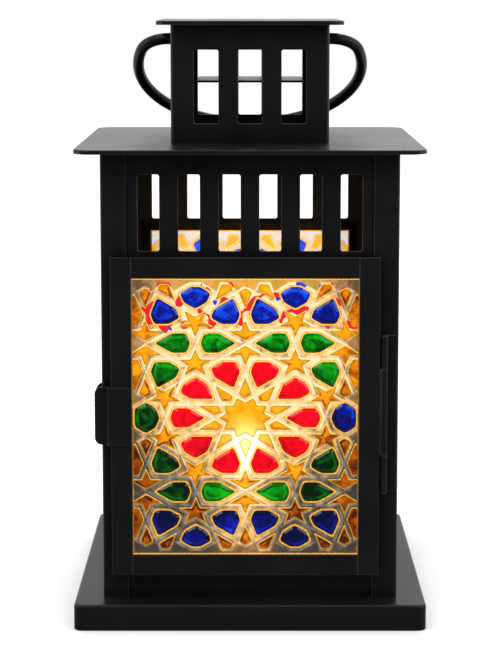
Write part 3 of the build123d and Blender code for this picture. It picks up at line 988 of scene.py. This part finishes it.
candle_light = bpy.data.lights.new("candle_light", "POINT")
candle_light.energy = candle_light_watts
candle_light.color = (1.0, 0.72, 0.42)
candle_light.shadow_soft_size = candle_light_radius * MM
candle_lamp = bpy.data.objects.new("candle_light", candle_light)
candle_lamp.location = (0.0, 0.0, candle_light_height * MM)
scene.collection.objects.link(candle_lamp)


# Studio: a pale floor, soft light and the photograph's camera

def studio_depth(tree, coordinate, near, far):
    """Level that gloss shows: dark before the lantern, white behind it, as with a dark card at the camera."""
    depth = along(tree, coordinate, "Y")
    return between(tree, depth, near, far, to_low=card_level, to_high=1.0, smooth=True)


def floor_material():
    """Pale paper that looks white, keeps a soft shadow and has a painted contact shadow at the lantern's
    foot.
    """
    material, tree, output = new_material("studio_floor")
    place = object_place(tree)
    paper = noise(tree, place, scale=60.0, detail=3.0)
    paper_colour = ramp(tree, paper, ((0.3, (0.38, 0.38, 0.38)), (0.8, (0.41, 0.41, 0.41))))
    matte = put(tree, "ShaderNodeBsdfDiffuse", Color=paper_colour)

    distance = vector_node(tree, "LENGTH", place)
    level = between(tree, distance, floor_shade_near, floor_shade_far, to_low=floor_level, smooth=True)
    # Painted contact shadow: the floor's glow darkens where ambient occlusion finds the lantern close by
    contact = put(tree, "ShaderNodeAmbientOcclusion", samples=8, Distance=contact_reach).outputs["AO"]
    shaded = times(tree, level, plus(tree, contact_level, times(tree, contact, 1.0 - contact_level)))

    path = put(tree, "ShaderNodeLightPath")
    glow = put(tree, "ShaderNodeEmission", Strength=times(tree, seen_directly(tree, path), shaded))
    lit = put(tree, "ShaderNodeAddShader")
    feed(tree, lit, "0", matte.outputs[0])
    feed(tree, lit, "1", glow.outputs[0])
    in_gloss = put(tree, "ShaderNodeEmission", Strength=studio_depth(tree, place, near=-0.25, far=0.25))
    seen = mix_shader(tree, path.outputs["Is Glossy Ray"], lit, in_gloss)
    feed(tree, output, "Surface", seen.outputs[0])
    return material


floor_mesh = bpy.data.meshes.new("floor")
floor_form = bmesh.new()
bmesh.ops.create_grid(floor_form, x_segments=1, y_segments=1, size=floor_half_size)
floor_form.to_mesh(floor_mesh)
floor_form.free()
floor = bpy.data.objects.new("floor", floor_mesh)
floor.data.materials.append(floor_material())
floor.location.z = -floor_gap
scene.collection.objects.link(floor)

world = bpy.data.worlds.new("studio")
world.use_nodes = True
scene.world = world
sky = world.node_tree
background = sky.nodes["Background"]
direction = put(sky, "ShaderNodeTexCoord").outputs["Generated"]
sky_path = put(sky, "ShaderNodeLightPath")
in_sky_gloss = studio_depth(sky, direction, near=-0.5, far=0.3)
around = mix_level(sky, sky_path.outputs["Is Glossy Ray"], surround_level, in_sky_gloss)
feed(sky, background, "Color", (1.0, 1.0, 1.0, 1.0))
feed(sky, background, "Strength", mix_level(sky, seen_directly(sky, sky_path), around, 1.0))


def softbox(name, place, size, watts):
    """Large area lamp aimed at the lantern, with its place and size in metres."""
    light = bpy.data.lights.new(name, "AREA")
    light.shape = "RECTANGLE"
    light.size, light.size_y = size
    light.energy = watts
    lamp = bpy.data.objects.new(name, light)
    lamp.location = place
    aim = light_aim - lamp.location
    lamp.rotation_euler = aim.to_track_quat("-Z", "Y").to_euler()
    scene.collection.objects.link(lamp)


softbox("key", place=(-0.9, -0.9, 1.3), size=(0.9, 0.9), watts=10.0)
softbox("fill", place=(1.1, -0.7, 0.8), size=(0.8, 1.0), watts=7.0)
softbox("rim", place=(0.3, 1.1, 1.1), size=(1.0, 0.6), watts=8.0)
softbox("overhead", place=(-0.1, -0.15, 1.35), size=(1.4, 0.5), watts=7.5)
softbox("left_strip", place=(-1.3, -0.1, 0.35), size=(0.25, 1.0), watts=5.0)
softbox("right_strip", place=(1.3, -0.1, 0.35), size=(0.25, 1.0), watts=5.0)

camera_data = bpy.data.cameras.new("photo_camera")
camera_data.lens = camera_lens
camera_data.sensor_width = camera_sensor
camera_data.shift_y = camera_shift
camera_data.clip_start = camera_clip
camera = bpy.data.objects.new("photo_camera", camera_data)
camera.location = camera_place
camera.rotation_euler = (math.radians(90 - camera_pitch), 0.0, 0.0)
scene.collection.objects.link(camera)
scene.camera = camera
